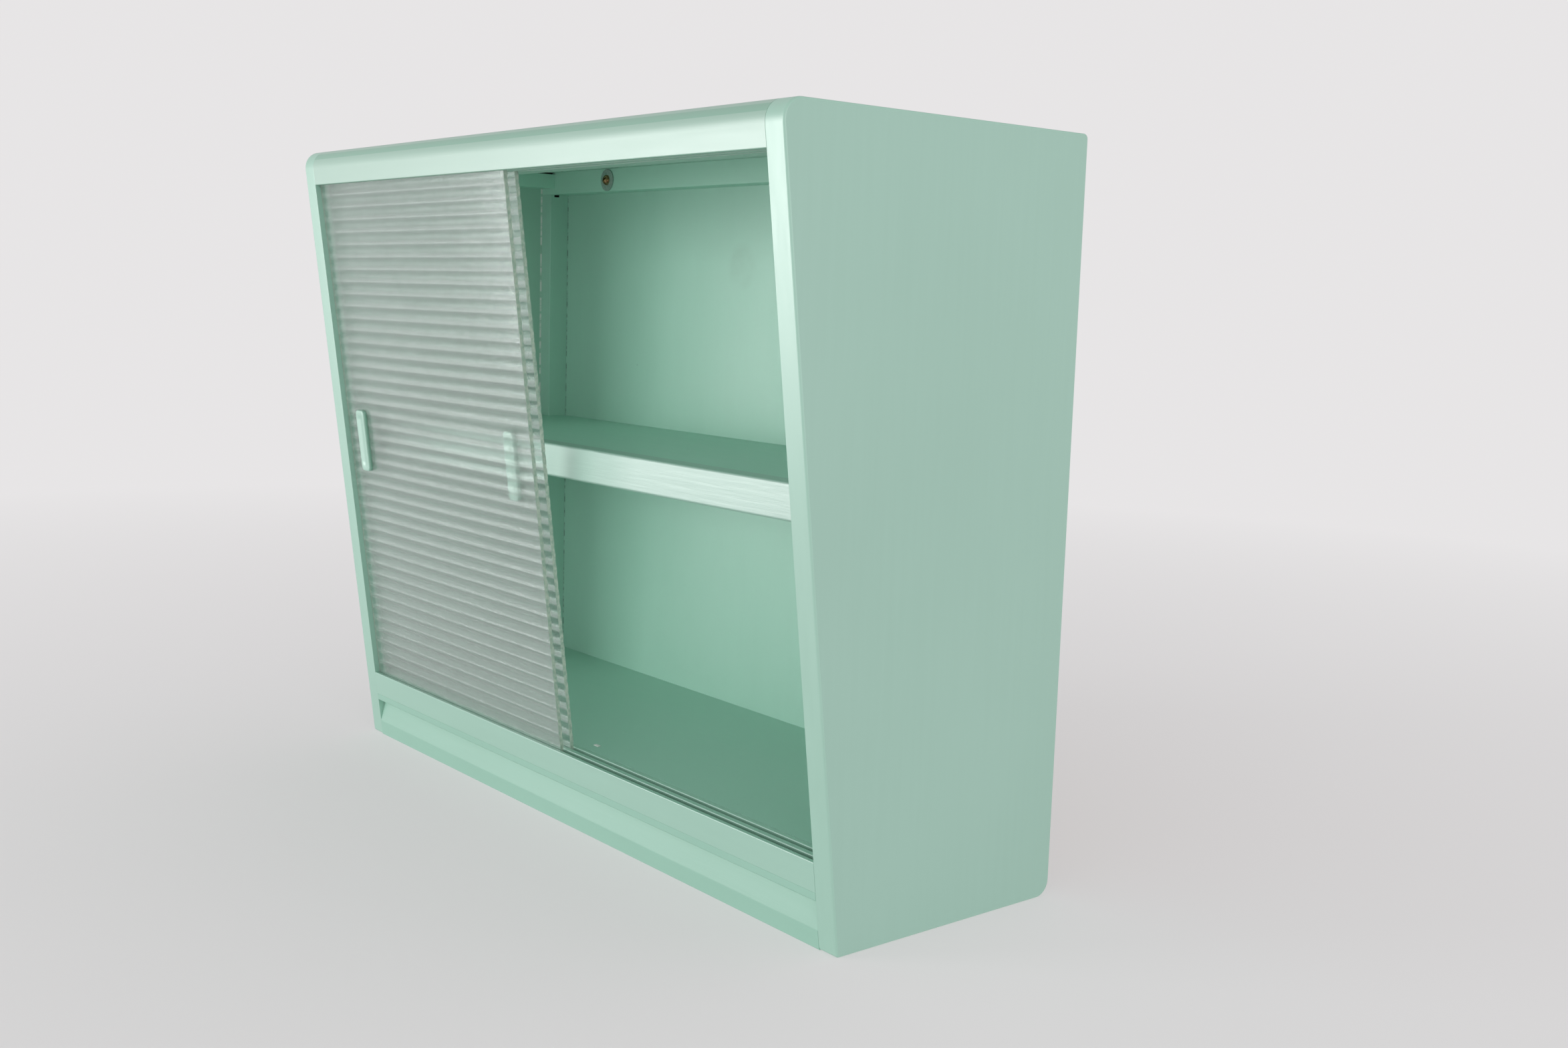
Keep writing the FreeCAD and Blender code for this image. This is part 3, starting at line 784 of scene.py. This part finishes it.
ribbed_glass, glass_tree, glass_shader, glass_place = new_finish("ribbed glass")
glass_shader.inputs["IOR"].default_value = 1.5
haze = node(glass_tree, "TexNoise", {"Vector": glass_place, "Scale": 60.0, "Detail": 4.0}).outputs[0]
glass_colour = blend_colours(glass_tree, haze, glass_tint, glass_pale)
glass_tree.links.new(glass_colour, glass_shader.inputs["Base Color"])
glass_tree.links.new(stretch(glass_tree, 0.3, 0.7, haze, 0.06, 0.08), glass_shader.inputs["Roughness"])
hammer = node(glass_tree, "TexNoise", {"Vector": glass_place, "Scale": 900.0, "Detail": 2.0}).outputs[0]
hammered = node(glass_tree, "Bump", {"Strength": 0.6, "Distance": 0.00012, "Height": hammer})
glass_tree.links.new(hammered.outputs[0], glass_shader.inputs["Normal"])

up_pane = (0, -math.sin(lean), math.cos(lean))
through_pane = (0, math.cos(lean), math.sin(lean))
rise = along(glass_tree, glass_place, up_pane)
turns = node(glass_tree, "Math", {0: rise, 1: rib_pitch}, operation="DIVIDE").outputs[0]
swing = node(glass_tree, "Math", {0: turns, 1: 0.5}, operation="PINGPONG").outputs[0]
crest = stretch(glass_tree, 0.20, 0.32, swing)
frost = both(glass_tree, crest, stretch(glass_tree, 0.3, 0.7, hammer, 0.45, 1.0))
depth = along(glass_tree, glass_place, through_pane)
between = front_y(0) * math.cos(lean) + door_setback + door_pitch - 0.003
milky = stretch(glass_tree, between - 0.001, between + 0.001, depth, front_frosted, rear_frosted)
clearest = stretch(glass_tree, between - 0.001, between + 0.001, depth, front_clear, rear_clear)
clearness = stretch(glass_tree, 0.0, 1.0, frost, clearest, milky)
glass_tree.links.new(clearness, glass_shader.inputs["Transmission Weight"])
rays = node(glass_tree, "LightPath").outputs
lit = node(glass_tree, "Math", {0: rays["Is Shadow Ray"], 1: rays["Is Diffuse Ray"]}, operation="MAXIMUM")
clear = node(glass_tree, "BsdfTransparent", {"Color": (0.965, 0.975, 0.97, 1)}).outputs[0]
passing = node(glass_tree, "MixShader", {0: lit.outputs[0], 1: glass_shader.outputs[0], 2: clear})
glass_tree.links.new(passing.outputs[0], glass_tree.nodes["Material Output"].inputs["Surface"])

edge_dark = (0.34, 0.50, 0.40, 1)
edge_pale = (0.62, 0.70, 0.60, 1)
ground_edge, edge_tree, edge_shader, edge_place = new_finish("ground glass edge")
edge_shader.inputs["Roughness"].default_value = 0.4
edge_shader.inputs["Transmission Weight"].default_value = 0.25
chips = node(edge_tree, "TexNoise", {"Vector": edge_place, "Scale": 350.0, "Detail": 4.0}).outputs[0]
edge_colour = blend_colours(edge_tree, stretch(edge_tree, 0.35, 0.65, chips), edge_dark, edge_pale)
edge_tree.links.new(edge_colour, edge_shader.inputs["Base Color"])

for door, index in (("front", 0), ("rear", 1)):
    glass = pane(f"{door}_pane", f"{door}_door_glass", index)
    fit(glass, ribbed_glass, "ribbed_glass", f"{door}_door", f"{door}_door_glass")
    second_finish(glass, ground_edge, lambda face: abs(face.normal.x) > 0.9)

# Pulls: small painted wooden blocks with a shallow finger dish, one glued to each pane.
# A thin adhesive pad lies between the block and the glass.

pull_paint = mint_paint("mint paint on the pulls", (120, 120, 20))
pad_film = mottled("adhesive pad", 300.0, (0.42, 0.50, 0.42, 1), (0.60, 0.66, 0.58, 1), 0.6)
for door in ("front", "rear"):
    block = frame["nodes"][f"{door}_door_pull"].copy()
    block.data = block.data.copy()
    block.name = block.data.name = f"{door}_pull"
    for key in list(block.keys()):
        del block[key]
    block.parent = None
    bpy.context.scene.collection.objects.link(block)
    only(block)
    bpy.ops.object.mode_set(mode="EDIT")
    bpy.ops.mesh.select_all(action="SELECT")
    bpy.ops.mesh.remove_doubles(threshold=touch)
    bpy.ops.object.mode_set(mode="OBJECT")
    bpy.ops.object.shade_smooth_by_angle(angle=math.radians(35))
    fit(block, pull_paint, "pull_paint", f"{door}_door", f"{door}_door_pull")
    dress(f"{door}_pull_pad", pad_film)

# Stage: a wide pale floor under a pale studio, a large soft light in front on the left and a fill
# from the right. A low card on the left shows only in the gloss of the paint and the glass.

backdrop = (0.80, 0.785, 0.79, 1)
bpy.ops.object.select_all(action="DESELECT")
bpy.ops.mesh.primitive_plane_add(size=40)
floor = bpy.context.object
floor.name = "studio_floor"
floor_material = mottled("pale floor", 3.0, (0.86, 0.845, 0.85, 1), (0.89, 0.875, 0.88, 1), 0.8)
stage_tree = floor_material.node_tree
stage_place = node(stage_tree, "TexCoord").outputs["Object"]
away = node(stage_tree, "VectorMath", {0: stage_place}, operation="LENGTH").outputs["Value"]
far = stretch(stage_tree, 0.3, 2.6, away, 0.45, 1.0)
glow = node(stage_tree, "Emission", {"Color": backdrop}).outputs[0]
sweep = node(stage_tree, "MixShader", {0: far, 1: stage_tree.nodes["Principled BSDF"].outputs[0], 2: glow})
stage_tree.links.new(sweep.outputs[0], stage_tree.nodes["Material Output"].inputs["Surface"])
floor.data.materials.append(floor_material)

shaded = (0.52, 0.52, 0.52, 1)
bright = (1.36, 1.36, 1.36, 1)
overhead = (0.42, 0.42, 0.42, 1)
world = bpy.data.worlds.new("studio")
bpy.context.scene.world = world
world.use_nodes = True
sky = world.node_tree
ray = node(sky, "LightPath").outputs
direct = node(sky, "Math", {0: ray["Is Camera Ray"], 1: ray["Is Glossy Ray"]}, operation="MAXIMUM").outputs[0]
seen = node(sky, "Math", {0: direct, 1: ray["Is Transmission Ray"]}, operation="MAXIMUM").outputs[0]
toward = node(sky, "SeparateXYZ", {0: node(sky, "TexCoord").outputs["Generated"]}).outputs
level = blend_colours(sky, stretch(sky, -0.6, 0.5, toward[0]), shaded, bright)
ambient = blend_colours(sky, stretch(sky, 0.1, 0.7, toward[2]), level, overhead)
sky.links.new(blend_colours(sky, seen, ambient, backdrop), sky.nodes["Background"].inputs["Color"])


def soft_light(name, place, target, width, tall, power, lights_paint=True):
    """A rectangular lamp turned to its target, out of the camera's sight."""
    bpy.ops.object.light_add(type="AREA", location=place)
    lamp = bpy.context.object
    lamp.name = name
    lamp.data.shape = "RECTANGLE"
    lamp.data.size = width
    lamp.data.size_y = tall
    lamp.data.energy = power
    lamp.visible_camera = False
    lamp.visible_diffuse = lights_paint
    lamp.rotation_euler = (Vector(target) - Vector(place)).to_track_quat("-Z", "Y").to_euler()


soft_light("window", (-2.05, -3.42, 0.72), (0, 0, 0.40), 1.5, 1.3, 52)
soft_light("gloss_card", (-1.75, -1.70, 0.27), (0, 0, 0.30), 0.85, 0.5, 8.0, False)
soft_light("fill", (3.0, -0.7, 0.9), (0.2, 0, 0.3), 2.0, 2.0, 11)

# Camera: in front on the right, a little below the cabinet's top, as the photograph was taken.
# Its place, its turn and its lens were worked out from the edges of the cabinet.

bpy.ops.object.camera_add(location=(1.21300, -0.83054, 0.46863))
camera = bpy.context.object
camera.rotation_euler = [math.radians(turn) for turn in (82.2053, -1.7265, 50.6658)]
camera.data.lens = 37.6035
camera.data.sensor_width = 36.0
camera.data.clip_start = 0.01
bpy.context.scene.camera = camera
bpy.context.scene.view_settings.view_transform = "Standard"
